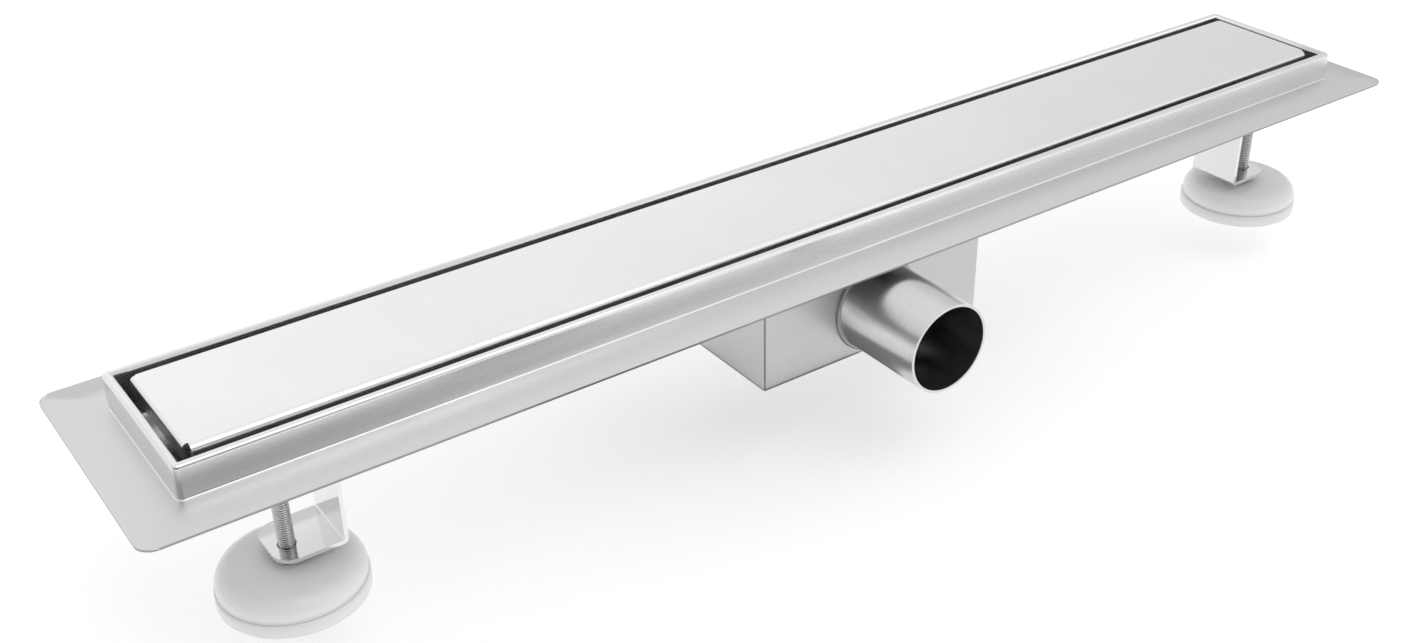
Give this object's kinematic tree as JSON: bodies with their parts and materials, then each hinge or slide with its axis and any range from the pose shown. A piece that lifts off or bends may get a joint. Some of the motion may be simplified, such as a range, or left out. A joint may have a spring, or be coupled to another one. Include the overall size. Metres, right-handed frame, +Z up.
{
  "type": "linear shower drain",
  "caption": "Long stainless channel drain with a wide flange, plain lift-out cover, box sump with side outlet pipe and screw-adjusted round feet.",
  "frame": {"origin": "middle of the cover's top face, at the height of the finished floor", "axes": "+X along the channel, -Y the way the outlet pipe points, +Z up"},
  "size_m": [0.8, 0.179, 0.0985],
  "materials": {
    "tray_steel": "satin stainless sheet, folded and welded",
    "cover_steel": "bright satin stainless sheet",
    "sump_steel": "satin stainless sheet with plain welded corners",
    "pipe_steel": "satin stainless tube",
    "bracket_steel": "mirror polished stainless strip",
    "fastener_steel": "plain rolled stainless thread",
    "foot_plastic": "pale moulded plastic with a soft sheen",
    "trap_plastic": "grey moulded plastic",
    "trap_rubber": "black rubber",
    "strainer_steel": "punched stainless sheet"
  },
  "bodies": {
    "channel": {"channel_tray": "tray_steel", "cover_plate": "cover_steel", "cover_supports": "cover_steel", "support_shoes": "trap_rubber", "sump_box": "sump_steel", "outlet_pipe": "pipe_steel", "trap_tube": "trap_plastic", "trap_cup": "trap_plastic", "trap_seal": "trap_rubber", "hair_strainer": "strainer_steel", "strainer_grip": "strainer_steel", "left_bracket": "bracket_steel", "right_bracket": "bracket_steel"},
    "left_nut": {"left_lock_nut": "fastener_steel"},
    "right_nut": {"right_lock_nut": "fastener_steel"},
    "left_foot": {"left_foot_stud": "fastener_steel", "left_foot_pad": "foot_plastic"},
    "right_foot": {"right_foot_stud": "fastener_steel", "right_foot_pad": "foot_plastic"}
  },
  "joints": [
    {"name": "left_nut_spin", "type": "hinge", "parent": "channel", "child": "left_nut", "pos_m": [-0.328, -0.028, -0.0768], "axis": [0, 0, 1], "range_deg": [0, 8640]},
    {"name": "left_foot_slide", "type": "slide", "parent": "channel", "child": "left_foot", "axis": [0, 0, -1], "range_m": [0, 0.03]},
    {"name": "right_nut_spin", "type": "hinge", "parent": "channel", "child": "right_nut", "pos_m": [0.328, -0.028, -0.0768], "axis": [0, 0, 1], "range_deg": [0, 8640]},
    {"name": "right_foot_slide", "type": "slide", "parent": "channel", "child": "right_foot", "axis": [0, 0, -1], "range_m": [0, 0.03]}
  ],
  "couplings": [
    {"joint": "left_nut_spin", "follows": "left_foot_slide", "rad_per_m": 5026.5},
    {"joint": "right_nut_spin", "follows": "right_foot_slide", "rad_per_m": 5026.5}
  ]
}
